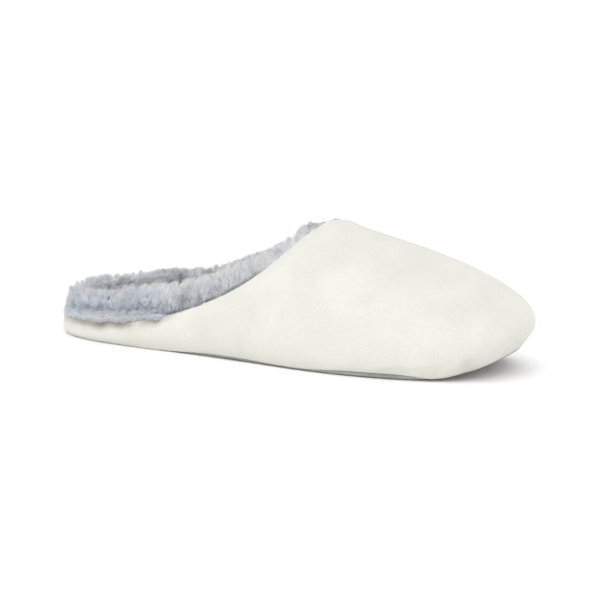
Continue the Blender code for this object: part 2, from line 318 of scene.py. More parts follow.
def length_to_edge(points):
    """Length along each rib from a point up to the collar's edge."""
    legs = np.linalg.norm(np.diff(points, axis=1), axis=2)
    back = np.cumsum(legs[:, ::-1], axis=1)[:, ::-1]
    return np.concatenate([back, np.zeros((len(points), 1))], axis=1)


def waves(points, size, seed):
    """Smooth noise at each point, about -1 to 1."""
    flat = points.reshape(-1, 3) / size
    shift = Vector((seed * 3.1, seed * 7.7, seed * 1.3))
    values = [noise.noise(Vector(point) + shift) for point in flat]
    return np.array(values).reshape(points.shape[:-1])


def mesh_object(name, points, material, quads=(), triangles=(), colours=None):
    """One named object from arrays of points and faces."""
    mesh = bpy.data.meshes.new(name)
    mesh.vertices.add(len(points))
    mesh.vertices.foreach_set("co", np.ascontiguousarray(points, np.float32).ravel())
    loops = []
    starts = []
    used = 0
    for faces in (quads, triangles):
        if len(faces) == 0:
            continue
        faces = np.asarray(faces, np.int32)
        loops.append(faces.ravel())
        starts.append(used + np.arange(len(faces)) * faces.shape[1])
        used += faces.size
    mesh.loops.add(used)
    mesh.loops.foreach_set("vertex_index", np.concatenate(loops))
    starts = np.concatenate(starts).astype(np.int32)
    mesh.polygons.add(len(starts))
    mesh.polygons.foreach_set("loop_start", starts)
    mesh.update(calc_edges=True)
    mesh.validate()
    mesh.shade_smooth()
    if colours is not None:
        layer = mesh.attributes.new("tint", "FLOAT_COLOR", "POINT")
        layer.data.foreach_set("color", np.ascontiguousarray(colours, np.float32).ravel())
    mesh.materials.append(material)
    item = bpy.data.objects.new(name, mesh)
    bpy.context.scene.collection.objects.link(item)
    return item


def grid_faces(numbers):
    """Faces between the rows and columns of a grid of point numbers."""
    corners = (numbers[:-1, :-1], numbers[1:, :-1], numbers[1:, 1:], numbers[:-1, 1:])
    return np.stack([corner.ravel() for corner in corners], axis=1)


def closed_numbers(rows, columns):
    """Point numbers of a grid whose last column is joined to its first."""
    return np.pad(np.arange(rows * columns).reshape(rows, columns), ((0, 0), (0, 1)), "wrap")


def stacked_faces(rings, count):
    """Faces of the wall between closed rings stacked upwards."""
    return grid_faces(closed_numbers(rings, count))[:, [0, 3, 2, 1]]


def loft(name, sections, material, colours=None):
    """Closed sections joined in a closed loop."""
    numbers = closed_numbers(*sections.shape[:2])
    quads = grid_faces(np.concatenate([numbers, numbers[:1]]))
    return mesh_object(name, sections.reshape(-1, 3), material, quads, colours=colours)


def place_piece(piece, slot, *nodes):
    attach(piece, "root")
    if nodes:
        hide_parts(*nodes)


# Materials


def new_material(name):
    material = bpy.data.materials.new(name)
    material.use_nodes = True
    tree = material.node_tree
    return material, tree, tree.nodes["Principled BSDF"]


def set_values(node, **values):
    """Sets a node's sockets and settings by name."""
    for name, value in values.items():
        socket = name.replace("_", " ")
        if socket in node.inputs:
            node.inputs[socket].default_value = value
        else:
            setattr(node, name, value)


def add_node(tree, kind, **values):
    node = tree.nodes.new(kind)
    set_values(node, **values)
    return node


def add_texture(tree, kind, **values):
    """A texture laid out in the part's own metres."""
    node = add_node(tree, kind, **values)
    place = tree.nodes.new("ShaderNodeTexCoord")
    tree.links.new(place.outputs["Object"], node.inputs["Vector"])
    return node


def add_noise(tree, **values):
    return add_texture(tree, "ShaderNodeTexNoise", **values)


def add_tones(tree, texture, target, *stops):
    """Two colours for a socket by a texture's value, each stop a value and a colour."""
    node = tree.nodes.new("ShaderNodeValToRGB")
    for element, (place, colour) in zip(node.color_ramp.elements, stops):
        element.position = place
        element.color = (*colour, 1.0)
    tree.links.new(texture.outputs["Fac"], node.inputs["Fac"])
    tree.links.new(node.outputs["Color"], target)


def add_bump(tree, shader, height, **values):
    """Fine relief of a shader from a node's output."""
    node = add_node(tree, "ShaderNodeBump", **values)
    tree.links.new(height, node.inputs["Height"])
    tree.links.new(node.outputs["Normal"], shader.inputs["Normal"])


# painted shade of the nap's gaps, how much paler its tips are, and its share of the relief
NAP_GAP_SHADE = 0.85
NAP_CONTRAST = 0.30
NAP_RELIEF = 0.5


def velvet_material():
    """Cream velvet: short nap, slightly brushed, bright where it turns away."""
    material, tree, shader = new_material("cream_velvet")
    link = tree.links.new
    brushed = add_noise(tree, Scale=34.0, Detail=3.0, Roughness=0.55, Distortion=0.6)
    # the vertex tint holds painted shade in the fold under the fringe and along the hem
    tint = add_node(tree, "ShaderNodeVertexColor", layer_name="tint")
    dimmed = add_node(tree, "ShaderNodeVectorMath", operation="MULTIPLY")
    tones = ((0.30, (0.643, 0.629, 0.576)), (0.70, (0.702, 0.687, 0.638)))
    add_tones(tree, brushed, dimmed.inputs[0], *tones)
    link(tint.outputs["Color"], dimmed.inputs[1])
    # painted shade: the nap's gaps darker and its tips paler, by the same noise that gives its relief
    nap = add_noise(tree, Scale=1700.0, Detail=2.0, Roughness=0.6)
    tips = add_node(tree, "ShaderNodeMath", operation="MULTIPLY_ADD")
    tips.inputs[1].default_value = NAP_CONTRAST
    tips.inputs[2].default_value = NAP_GAP_SHADE
    link(nap.outputs["Fac"], tips.inputs[0])
    napped = add_node(tree, "ShaderNodeVectorMath", operation="SCALE")
    link(dimmed.outputs["Vector"], napped.inputs[0])
    link(tips.outputs["Value"], napped.inputs["Scale"])
    link(napped.outputs["Vector"], shader.inputs["Base Color"])
    soft = add_noise(tree, Scale=260.0, Detail=3.0, Roughness=0.6)
    both = add_node(tree, "ShaderNodeMath", operation="MULTIPLY_ADD")
    both.inputs[1].default_value = NAP_RELIEF
    link(nap.outputs["Fac"], both.inputs[0])
    link(soft.outputs["Fac"], both.inputs[2])
    add_bump(tree, shader, both.outputs["Value"], Strength=0.6, Distance=0.0004)
    set_values(shader, Roughness=0.92, Specular_IOR_Level=0.15)
    set_values(shader, Sheen_Weight=0.25, Sheen_Roughness=0.45, Sheen_Tint=(1.0, 0.98, 0.94, 1.0))
    return material


def strand_material(name):
    """Fur strands: colour from root to tip, soft gloss."""
    material, tree, shader = new_material(name)
    tint = add_node(tree, "ShaderNodeVertexColor", layer_name="tint")
    tree.links.new(tint.outputs["Color"], shader.inputs["Base Color"])
    set_values(shader, Roughness=0.75, Specular_IOR_Level=0.25, Sheen_Weight=0.3, Sheen_Roughness=0.5)
    return material


def backing_material(name, dark, light):
    """Knitted backing under the pile, hidden but for chinks between the locks."""
    material, tree, shader = new_material(name)
    clumps = add_noise(tree, Scale=420.0, Detail=4.0, Roughness=0.65)
    add_tones(tree, clumps, shader.inputs["Base Color"], (0.35, dark), (0.65, light))
    add_bump(tree, shader, clumps.outputs["Fac"], Strength=0.8, Distance=0.001)
    set_values(shader, Roughness=0.95, Specular_IOR_Level=0.1)
    return material


def rubber_material():
    """Dark grey rubber with a fine stipple and a little dust."""
    material, tree, shader = new_material("sole_grey_rubber")
    dust = add_noise(tree, Scale=60.0, Detail=4.0, Roughness=0.6)
    tones = ((0.30, (0.270, 0.263, 0.248)), (0.75, (0.350, 0.342, 0.325)))
    add_tones(tree, dust, shader.inputs["Base Color"], *tones)
    grain = add_texture(tree, "ShaderNodeTexVoronoi", Scale=900.0)
    add_bump(tree, shader, grain.outputs["Distance"], Strength=0.3, Distance=0.0003)
    set_values(shader, Roughness=0.78, Specular_IOR_Level=0.35)
    return material


# Upper

# padded roll at the throat's edge: place, height and reach round the shoe
Swell = namedtuple("Swell", "place height reach")
SWELLS = (
    Swell(7.4, 0.0022, 0.90),
    Swell(9.2, 0.0006, 0.90),
)


def throat_swell(places):
    """Height of the padded roll at the throat's edge, fullest beside its middle."""
    return sum(swell.height * bell(places, swell.place, swell.reach) for swell in SWELLS)


# how far a trough's sides rise into ridges
RIDGE = 1.6


def crease_relief(points, normals, places, shares):
    """Depth of the listed troughs and their soft ridges, in metres outward."""
    relief = np.zeros(points.shape[:2])
    for crease in CREASES:
        station = int(np.argmin(np.abs(places - crease.place)))
        step = int(np.argmin(np.abs(shares - crease.share)))
        centre = points[station, step]
        normal = normals[station, step]
        up = unit(points[station, min(step + 1, len(shares) - 1)] - points[station, max(step - 1, 0)])
        across = np.cross(normal, up)
        angle = math.radians(crease.turn)
        run = up * math.cos(angle) + across * math.sin(angle)
        side = np.cross(normal, run)
        away = points - centre
        along = (away @ run) / crease.run
        wide = (away @ side) / crease.across
        same_side = smooth(0.0, 0.5, normals @ normal)
        fall = np.exp(-along ** 2) * np.exp(-wide ** 2)
        relief -= crease.depth * (1.0 - RIDGE * wide ** 2) * fall * same_side
    return relief


# heights of the velvet's relief
BROAD_WAVES = 0.00045
FINE_WAVES = 0.00020
THROAT_ROLL = 0.0007
FRINGE_DRAW = 0.0005
# where dents fade above the hem, and where the vamp begins along the shoe
DENT_FADE = (-0.0017, 0.0040)
VAMP_FADE = (-0.060, -0.005)


def velvet_relief(points, normals, edge, places, shares):
    """Creases, uneven padding and rolled edges of the velvet, in metres outward."""
    down = length_to_edge(points)
    # dents fade towards the hem, so that its edge stays level
    relief = crease_relief(points, normals, places, shares) * smooth(*DENT_FADE, down[:, :1] - down)
    relief += BROAD_WAVES * waves(points, size=0.030, seed=1) * smooth(0.0, 0.012, down)
    relief += FINE_WAVES * waves(points, size=0.012, seed=2)
    vamp = smooth(*VAMP_FADE, edge[:, 0])[:, None]
    relief += THROAT_ROLL * vamp * bell(down, 0.005, 0.0035)
    relief += throat_swell(places)[:, None] * bell(down, 0.004, 0.010)
    relief -= FRINGE_DRAW * edge_value(places, "hang")[:, None] * bell(down, 0.0, 0.004)
    return relief


# stations on either side over which the hem's drop is evened out
HEM_EVEN = 12
HEM_EVEN_SPREAD = 5.0


def hem_drop(places):
    drop = by_place(HEMS, places, "drop")
    spread = np.exp(-0.5 * (np.arange(-HEM_EVEN, HEM_EVEN + 1) / HEM_EVEN_SPREAD) ** 2)
    closed = np.concatenate([drop[-HEM_EVEN:], drop, drop[:HEM_EVEN]])
    return np.convolve(closed, spread / spread.sum(), "valid")


UPPER_STATIONS = 576
UPPER_STEPS = 72
RIM_STEPS = 6
INNER_STEPS = 16
# how far up the wall the hem's drop, its tuck and its straight push reach
HEM_REACH = 0.007
TUCK_REACH = 0.006
PUSH_REACH = 0.006
# cloth folded under at the hem: insets of its four turns, share of the tuck, height of the last two
FOLD_INSETS = (0.0012, 0.00048, 0.00045, 0.00025)
FOLD_TUCK = 0.6
FOLD_TURN = np.array([0.0, 0.0, 0.0001])
# painted shade by channel in the fold under the fringe and along the hem
FRINGE_SHADE_TONE = np.array([1.0, 1.06, 1.11, 0.0])
FRINGE_SHADE_REACH = 0.0023
FRINGE_SHADE_UNEVEN = 0.5
HEM_SHADE_TONE = np.array([1.0, 1.01, 1.03, 0.0])


def velvet_tint(sections, down, places):
    """Painted shade in the fold under the fringe and along the hem."""
    dim = np.zeros(sections.shape[:2])
    # painted shade in the fold under the fringe, full on the rolled rim
    dim[:, :UPPER_STEPS] = bell(down, 0.0, FRINGE_SHADE_REACH)
    dim[:, UPPER_STEPS:UPPER_STEPS + RIM_STEPS] = 1.0
    uneven = FRINGE_SHADE_UNEVEN * waves(sections[:, UPPER_STEPS - 1], size=0.006, seed=41)[:, None]
    dim *= edge_value(places, "dim")[:, None] * (1.0 + uneven)
    tint = 1.0 - dim[..., None] * FRINGE_SHADE_TONE
    # painted shade along the hem, deepest in its puckers
    hem_shade = by_place(HEM_SHADES, places, "dark")[:, None] * bell(down[:, :1] - down, 0.0, HEM_SHADE_HEIGHT)
    tint[:, :UPPER_STEPS] *= 1.0 - hem_shade[..., None] * HEM_SHADE_TONE
    return tint


def make_upper():
    places = even_places(UPPER_STATIONS)
    controls = rib_controls(places)
    shares = np.linspace(0.0, 1.0, UPPER_STEPS)
    below = length_to_edge(rib_points(controls, shares[None, :]))
    cuts = edge_value(places, "cut")
    tops = np.array([np.interp(cut, row[::-1], shares[::-1]) for cut, row in zip(cuts, below)])
    wall = rib_points(controls, shares[None, :] * tops[:, None])
    inward = inward_normals(wall)
    down = length_to_edge(wall)
    relief = velvet_relief(wall, inward, controls[3], places, shares)
    # near the hem the relief only pushes straight in
    push = inward.copy()
    push[..., 2] *= smooth(0.0, PUSH_REACH, down[:, :1] - down)
    wall = wall - push * relief[..., None]
    inward = inward_normals(wall)
    # hem over the sole's edge
    rise = length_to_edge(wall)
    rise = rise[:, :1] - rise
    outer = wall.copy()
    outer[..., 2] -= hem_drop(places)[:, None] * np.clip(1.0 - rise / HEM_REACH, 0.0, 1.0) ** 2
    plan_in = -controls[4]
    tuck = edge_value(places, "tuck")[:, None]
    rounding = 1.0 - np.sqrt(1.0 - np.clip(1.0 - rise / TUCK_REACH, 0.0, 1.0) ** 2)
    outer += plan_in[:, None] * (tuck * rounding)[..., None]

    # rolled over at the collar's edge, down the inside and folded under at the hem
    beyond = unit(outer[:, -1] - outer[:, -2])
    radius = WALL / 2
    rim = []
    for angle in np.linspace(0.0, np.pi, RIM_STEPS + 2)[1:-1]:
        turned = outer[:, -1] + inward[:, -1] * radius * (1.0 - math.cos(angle))
        rim.append(turned + beyond * radius * math.sin(angle))
    rows = np.linspace(UPPER_STEPS - 1, 0, INNER_STEPS).astype(int)
    inner = wall[:, rows] + inward[:, rows] * WALL
    first, second, third, fourth = FOLD_INSETS
    fold = [
        wall[:, 0] + plan_in * (first + tuck * FOLD_TUCK),
        wall[:, 0] + plan_in * (second + tuck),
        outer[:, 0] + plan_in * third + FOLD_TURN,
        outer[:, 0] + plan_in * fourth - FOLD_TURN,
    ]
    sections = np.concatenate([outer, np.stack(rim, axis=1), inner, np.stack(fold, axis=1)], axis=1)
    upper = loft("upper_velvet", sections, velvet_material(), velvet_tint(sections, down, places))
    # the inner wall takes the lining's cloth
    cloth = backing_material("inner_wall_cloth", (0.16, 0.165, 0.18), (0.30, 0.31, 0.34))
    upper.data.materials.append(cloth)
    step = np.arange(len(upper.data.polygons)) % sections.shape[1] - UPPER_STEPS
    inside = (step >= RIM_STEPS // 2) & (step < RIM_STEPS + INNER_STEPS - 1)
    upper.data.polygons.foreach_set("material_index", inside.astype(np.int32))
    place_piece(upper, "velvet", "upper")


# Sole and footbed plates


def plate_rings(places, levels, base, inset):
    foot, outward = rib_controls(places)[::4]
    rings = []
    for height, extra in levels:
        ring = foot - outward * (inset + extra)
        ring[:, 2] = base + height + sole_lift(ring[:, 0], ring[:, 1])
        rings.append(ring)
    return np.array(rings)


def cover_grid(ring, across, height):
    """Grid across a closed outline, heel to toe, with its own heights."""
    count = len(ring)
    half = count // 2
    lateral = ring[1:half]
    medial = ring[:half:-1]
    share = np.linspace(0.0, 1.0, across + 1)[None, :, None]
    grid = lateral[:, None] + (medial - lateral)[:, None] * share
    grid[..., 2] = height(grid[..., 0], grid[..., 1], share[..., 0])
    grid[:, 0] = lateral
    grid[:, -1] = medial
    return grid


def plate(name, rings, across, low_height, high_height, material):
    """Closed plate from stacked outlines and its two covers."""
    levels, count = rings.shape[:2]
    half = count // 2
    points = [rings.reshape(-1, 3)]
    quads = [stacked_faces(levels, count)]
    triangles = []
    used = levels * count
    for index, height, flip in ((0, low_height, True), (levels - 1, high_height, False)):
        grid = cover_grid(rings[index], across, height)
        rows = half - 1
        numbers = np.empty((rows, across + 1), int)
        numbers[:, 0] = index * count + np.arange(1, half)
        numbers[:, -1] = index * count + np.arange(count - 1, half, -1)
        numbers[:, 1:-1] = used + np.arange(rows * (across - 1)).reshape(rows, across - 1)
        used += rows * (across - 1)
        points.append(grid[:, 1:-1].reshape(-1, 3))
        face = grid_faces(numbers)
        quads.append(face[:, ::-1] if flip else face)
        heel = np.full(across, index * count)
        toe = np.full(across, index * count + half)
        back = np.stack([heel, numbers[0, :-1], numbers[0, 1:]], axis=1)
        front = np.stack([numbers[-1, :-1], toe, numbers[-1, 1:]], axis=1)
        for face in (back, front):
            triangles.append(face[:, ::-1] if flip else face)
    quads = np.concatenate(quads)
    return mesh_object(name, np.concatenate(points), material, quads, np.concatenate(triangles))


# Studs of the tread; each of a stud's rings is a share of its radius and of its height
DOT_PITCH = 0.0062
DOT_ROW_PITCH = 0.866 * DOT_PITCH
DOT_RADIUS = 0.0014
DOT_HEIGHT = 0.0004
DOT_SIDES = 12
DOT_RINGS = ((1.0, 1.3), (1.0, 0.6), (0.86, 0.2), (0.55, 0.02))
DOT_CLEAR = 0.0045
TREAD_BACK = -0.126
TREAD_FRONT = 0.122
TREAD_SIDE = 0.048


def make_tread(outline, material):
    """Low round studs in staggered rows on the sole's underside."""
    rows = []
    for row, x in enumerate(np.arange(TREAD_BACK, TREAD_FRONT, DOT_ROW_PITCH)):
        shift = 0.5 * DOT_PITCH * (row % 2)
        rows += [(x, y + shift) for y in np.arange(-TREAD_SIDE, TREAD_SIDE, DOT_PITCH)]
    spots = np.array(rows)
    # keep spots well inside the outline
    half = len(outline) // 2
    sides = (outline[:half + 1], outline[:half - 1:-1])
    lateral, medial = (np.interp(spots[:, 0], side[:, 0], side[:, 1]) for side in sides)
    inside = (lateral < spots[:, 1]) & (spots[:, 1] < medial)
    clear = np.min(np.linalg.norm(outline[:, None, :2] - spots, axis=2), axis=0) > DOT_CLEAR
    spots = spots[inside & clear]
    angle = np.arange(DOT_SIDES) * 2.0 * np.pi / DOT_SIDES
    wheel = np.stack([np.cos(angle), -np.sin(angle)], axis=1)
    shells = []
    for size, height in DOT_RINGS:
        ring = spots[:, None] + wheel[None] * DOT_RADIUS * size
        level = sole_lift(spots[:, 0], spots[:, 1])[:, None] + DOT_HEIGHT * height
        shells.append(np.dstack([ring, level * np.ones((1, DOT_SIDES))]))
    tip = np.stack([spots[:, 0], spots[:, 1], sole_lift(spots[:, 0], spots[:, 1])], axis=1)
    cap = tip + np.array([0.0, 0.0, DOT_HEIGHT * DOT_RINGS[0][1]])
    points = np.concatenate(shells + [tip[:, None], cap[:, None]], axis=1)
    base = np.arange(len(spots))[:, None, None] * points.shape[1]
    near = np.arange(DOT_SIDES)
    far = (near + 1) % DOT_SIDES
    tips = np.full(DOT_SIDES, DOT_SIDES * len(DOT_RINGS))
    last = tips - DOT_SIDES
    ends = [np.stack([last + near, last + far, tips], axis=1), np.stack([far, near, tips + 1], axis=1)]
    quads = (base + stacked_faces(len(DOT_RINGS), DOT_SIDES)).reshape(-1, 4)
    triangles = (base + np.concatenate(ends)).reshape(-1, 3)
    tread = mesh_object("outsole_studs", points.reshape(-1, 3), material, quads, triangles)
    place_piece(tread, "sole")


SOLE_STATIONS = 320
SOLE_ACROSS = 24
SOLE_TUCK = 1.2
# height and inset of the outlines up the sole's edge
SOLE_LEVELS = (
    (DOT_HEIGHT, 0.0012), (0.0005, 0.0006), (0.0007, 0.0002), (0.0011, 0.0),
    (0.0021, 0.0), (0.0026, 0.0001), (0.0029, 0.0004), (SOLE_THICKNESS, 0.0008),
)


def make_sole():
    places = even_places(SOLE_STATIONS)
    inset = SOLE_INSET + SOLE_TUCK * edge_value(places, "tuck")[:, None]
    rings = plate_rings(places, SOLE_LEVELS, 0.0, inset)

    def under(x, y, share):
        return DOT_HEIGHT + sole_lift(x, y)

    def over(x, y, share):
        return SOLE_THICKNESS + sole_lift(x, y)

    rubber = rubber_material()
    sole = plate("outsole_rubber", rings, SOLE_ACROSS, under, over, rubber)
    place_piece(sole, "sole", "outsole")
    make_tread(rings[0], rubber)


def footbed_height(x, y, share):
    from_end = 0.5 - np.abs(x / LENGTH)
    middle = (1.0 - (2.0 * share - 1.0) ** 2) * np.minimum(1.0, from_end / INSOLE_FADE)
    return SOLE_THICKNESS + SEAM_GAP + INSOLE_EDGE + sole_lift(x, y) + middle * INSOLE_CROWN


# Fur


def scatter(grid, values, count, seed):
    """Spots spread evenly by area over a grid, with other grids' values read there too."""
    rng = np.random.default_rng(seed)
    first = grid[:-1, :-1]
    second = grid[1:, :-1]
    third = grid[1:, 1:]
    fourth = grid[:-1, 1:]
    area = 0.5 * np.linalg.norm(np.cross(third - first, fourth - second), axis=2)
    pick = rng.choice(area.size, count, p=area.ravel() / area.sum())
    row, col = np.unravel_index(pick, area.shape)
    s, t = rng.random((2, count, 1))

    def read(g):
        low = (1 - s) * g[row, col] + s * g[row + 1, col]
        high = (1 - s) * g[row, col + 1] + s * g[row + 1, col + 1]
        return (1 - t) * low + t * high

    return read(grid), [read(value) for value in values], float(area.sum())


# width of a strand and of a lock, how far hairs are pulled to their lock and stray, colours at root
# and tip, spread of the locks' shades
Coat = namedtuple("Coat", "width clump pull stray root tip shade")
THIRDS = (0.0, 2.0 * math.pi / 3.0, 4.0 * math.pi / 3.0)
# shares of whole locks and of single hairs standing out of the lying pile, and their tilt and height
STANDING_LOCKS = 0.12
STANDING_HAIRS = 0.08
STANDING_TILT = 0.3
LOCK_HEIGHT = 0.85
HAIR_HEIGHT = 0.65
LYING_LEAN = 0.6
# spread of the locks' and hairs' own turns in radians, and the ranges of their lengths and widths
LOCK_TURN = 0.35
HAIR_TURN = 0.40
LOCK_LENGTHS = (0.90, 1.08)
HAIR_LENGTHS = (0.72, 1.10)
HAIR_WIDTHS = (0.7, 1.2)
# how a lock's hairs gather at its tip
HAIR_PULLS = (0.5, 1.0)
STANDING_PULL = 1.5
TIP_SPREAD = 0.3
# spread of the hairs' shades and of the tips' hue, by channel
HAIR_SHADE = 0.15
HUE_WAVES = 0.02
HUE_SPREAD = 0.010
HUE_TONE = np.array([[1.0, -0.5, 0.6]])
# shares of the pile's normal and of the strand's run in the shading
PILE_SHADING = 0.2
RUN_SHADING = 0.6
# keeps a strand's side defined where it stands straight up
NUDGE = 1e-4 * np.array([[0.3, 0.5, 0.8]])


def add_fur(name, roots, normals, flows, lengths, leans, area, coat, material, slot, seed, shades=1.0):
    """Pointed three-sided strands gathered into locks, shaded softly after the pile's own surface."""
    normals = unit(normals)
    flows = unit(flows)
    rng = np.random.default_rng(seed)
    count = len(roots)
    heads = rng.choice(count, int(area / coat.clump ** 2), replace=False)
    tree = kdtree.KDTree(len(heads))
    for index, head in enumerate(heads):
        tree.insert(roots[head], index)
    tree.balance()
    member = np.array([tree.find(root)[1] for root in roots])
    head = heads[member]

    def turned(vectors, axes, angles):
        return vectors * np.cos(angles) + np.cross(axes, vectors) * np.sin(angles)

    swirl = rng.normal(0.0, LOCK_TURN, (len(heads), 1))
    lock_length = rng.uniform(*LOCK_LENGTHS, (len(heads), 1))
    lock_shade = rng.normal(0.0, coat.shade, (len(heads), 1))
    own_angle = swirl[member] + rng.normal(0.0, HAIR_TURN, (count, 1))
    flow = turned(flows, normals, own_angle)
    reach = lengths * lock_length[member] * rng.uniform(*HAIR_LENGTHS, (count, 1))
    tilt = np.arctan(leans)
    standing = ((rng.random((len(heads), 1)) < STANDING_LOCKS) & (leans[heads] > LYING_LEAN))[member]
    single = rng.random((count, 1)) < STANDING_HAIRS
    tilt = np.where(standing | single, STANDING_TILT, 1.0) * tilt
    height = np.where(standing, LOCK_HEIGHT, 1.0)
    reach = np.where(single, HAIR_HEIGHT, height) * reach
    tip = roots + (normals * np.cos(tilt) + flow * np.sin(tilt)) * reach
    tip += rng.normal(0.0, coat.stray, (count, 3)) * lengths
    head_flow = turned(flows[head], normals[head], swirl[member])
    head_tilt = tilt[head]
    head_tip = normals[head] * np.cos(head_tilt) + head_flow * np.sin(head_tilt)
    head_tip = roots[head] + head_tip * lengths[head] * lock_length[member] * height
    gathered = head_tip + (roots - roots[head]) * TIP_SPREAD
    pull = coat.pull * rng.uniform(*HAIR_PULLS, (count, 1)) * ~single
    pull = pull * np.where(standing, STANDING_PULL, 1.0)
    tip = tip * (1.0 - pull) + gathered * pull

    run = unit(tip - roots)
    side = unit(np.cross(run, normals) + NUDGE)
    face = np.cross(side, run)
    roll = rng.uniform(0.0, 2.0 * np.pi, (count, 1))
    spokes = [side * np.cos(roll + turn) + face * np.sin(roll + turn) for turn in THIRDS]
    width = coat.width * rng.uniform(*HAIR_WIDTHS, (count, 1))
    points = np.stack([roots + spoke * width for spoke in spokes] + [tip], axis=1)
    base = np.arange(count)[:, None, None] * 4
    triangles = (base + np.array([[1, 0, 3], [2, 1, 3], [0, 2, 3]])).reshape(-1, 3)

    bright = np.exp(lock_shade[member] + rng.normal(0.0, HAIR_SHADE, (count, 1))) * shades
    hue = HUE_WAVES * waves(roots, size=0.016, seed=seed)[:, None]
    hue = hue + rng.normal(0.0, HUE_SPREAD, (count, 1))
    tint = np.ones((count, 4, 4))
    tint[:, :3, :3] = (np.array(coat.root)[None] * bright)[:, None]
    tint[:, 3, :3] = (np.array(coat.tip)[None] + hue * HUE_TONE) * bright
    tint = np.clip(tint, 0.0, 1.0).reshape(-1, 4)
    piece = mesh_object(name, points.reshape(-1, 3), material, triangles=triangles, colours=tint)
    shading = [unit(spoke + PILE_SHADING * normals) for spoke in spokes]
    shading.append(unit(RUN_SHADING * run + PILE_SHADING * normals))
    shading = np.stack(shading, axis=1)
    piece.data.normals_split_custom_set_from_vertices(shading.reshape(-1, 3).astype(np.float32))
    place_piece(piece, slot)


def section_curve(controls, count):
    """Smooth open curves through rows of section points, evenly read."""
    rows = controls.shape[1]
    padded = np.concatenate([
        2 * controls[:, [0]] - controls[:, [1]],
        controls,
        2 * controls[:, [-1]] - controls[:, [-2]],
    ], axis=1)
    place = np.linspace(0.0, rows - 1.0, count)
    low = np.minimum(np.floor(place).astype(int), rows - 2)
    part = (place - low)[None, :, None]
    p0, p1, p2, p3 = (padded[:, low + shift] for shift in range(4))
    curve = 2 * p1 + (p2 - p0) * part
    curve += (2 * p0 - 5 * p1 + 4 * p2 - p3) * part ** 2
    curve += (3 * p1 - p0 - 3 * p2 + p3) * part ** 3
    return 0.5 * curve


# roots darker than tips, partly the fur's own colour and partly painted shade deep in the pile, most in
# the footbed and lining
COLLAR_COAT = Coat(0.00023, 0.0022, 0.43, 0.11, (0.79, 0.845, 0.96), (0.885, 0.94, 1.0), 0.10)
FOOTBED_COAT = Coat(0.00021, 0.0032, 0.66, 0.11, (0.32, 0.34, 0.39), (0.96, 1.01, 1.09), 0.25)
LINING_COAT = Coat(0.00026, 0.0034, 0.55, 0.09, (0.42, 0.44, 0.48), (0.93, 0.98, 1.06), 0.14)

COLLAR_STATIONS = 384
COLLAR_STEPS = 44
WALL_STEPS = 33
# how far the outer face stands out, in shares of FUR_PROUD, and what the heel and the fringe change;
# how much higher than the velvet's edge the fringe is rooted
PROUD = 0.35
HEEL_BACK_PROUD = 0.85
FRINGE_PROUD = 1.7
FRINGE_ROOT = 0.0032


def fur_band(places):
    """Height, lean, thickness and depth inside of the even fur band."""
    half = np.array([row[1:] for row in FURS]) * np.array([HEEL_FUR_HEIGHT, 1.0, FUR_THICKNESS, 1.0])
    stand, lean, thick, lining = round_spline(both_sides(half, half), places).T[..., None]
    return stand, lean, thick, np.maximum(lining, SEAM_GAP)


def throat_middle(edge):
    """How near a station is to the throat's middle, from 0 to 1."""
    return smooth(0.018, 0.006, np.abs(edge[:, [1]])) * (edge[:, [0]] > 0.0)


def collar_section(places, controls, band):
    """Points over the fur band, from the velvet's edge to its foot inside, and points up its back."""
    stand, lean, thick, lining = band
    crown, edge = controls[2:4]
    wall = rib_points(controls, np.linspace(0.0, 1.0, WALL_STEPS)[None, :])
    normals = inward_normals(wall)
    length_down = length_to_edge(wall)
    beyond = unit(edge - crown)
    inward = unit(normals[:, -1] - beyond * np.sum(normals[:, -1] * beyond, axis=1, keepdims=True))

    def along_wall(down, across):
        found = np.empty(edge.shape)
        for station, order in enumerate(length_down[:, ::-1]):
            spot = [np.interp(down[station, 0], order, wall[station, ::-1, axis]) for axis in range(3)]
            turn = [np.interp(down[station, 0], order, normals[station, ::-1, axis]) for axis in range(3)]
            found[station] = np.array(spot) + unit(np.array(turn)) * across[station, 0]
        return found

    cut = edge_value(places, "cut")[:, None]
    hang = edge_value(places, "hang")[:, None]
    proud = PROUD - PROUD * throat_middle(edge)
    proud = proud - HEEL_BACK_PROUD * smooth(1.2, 0.4, from_heel(places))[:, None] + FRINGE_PROUD * hang
    extra = by_place(LOFTS, places, "extra")[:, None]
    lift = by_place(LOFTS, places, "lift")[:, None]
    start = SEAM_GAP - cut + FRINGE_ROOT * hang
    swell = throat_swell(places)[:, None]
    over = []
    for lip in LIPS:
        raised = start * (1.0 - lip.beyond) + (stand + extra) * lip.beyond
        depth = thick * lip.across - FUR_PROUD * lip.proud * proud + raised * lean
        depth = depth - swell * (1.0 - lip.beyond) - lift * raised
        over.append(edge + beyond * raised + inward * depth)
    for under in UNDERS:
        over.append(along_wall(lining * under.down, thick * under.across))
    clear = np.full(lining.shape, WALL + LINING_GAP)
    back = [along_wall(lining, clear), along_wall(lining * 0.5, clear)]
    back.append(edge + beyond * (SEAM_GAP - cut) + inward * clear)
    return np.stack(over, axis=1), np.stack(back, axis=1)


# Lean of the pile by the way over the band, from the velvet's edge (0) to the foot inside (1)
LEAN_WAYS = (0.0, 0.10, 0.25, 0.40, 0.50, 0.65, 1.0)
LEANS = (0.35, 0.70, 1.25, 1.35, 1.20, 1.00, 0.90)
FRINGE_STAND = 0.95
LEAN_WAVES = 0.35
# length of the pile, in shares of the band's thickness and height, and what changes it
PILE_OF_THICK = 0.38
PILE_OF_STAND = 0.16
EDGE_PILE = 0.70
FOOT_SHORT = 0.25
THROAT_LONG = 0.15
FRINGE_SHORT = 0.2
FRINGE_RAGGED = 0.9
SEAM_SHORT = 0.6
LENGTH_WAVES = 0.20
CLEFT_SHORT = 0.20
INNER_CLEFT_SHORT = 0.15
CREST_CALM = 0.6
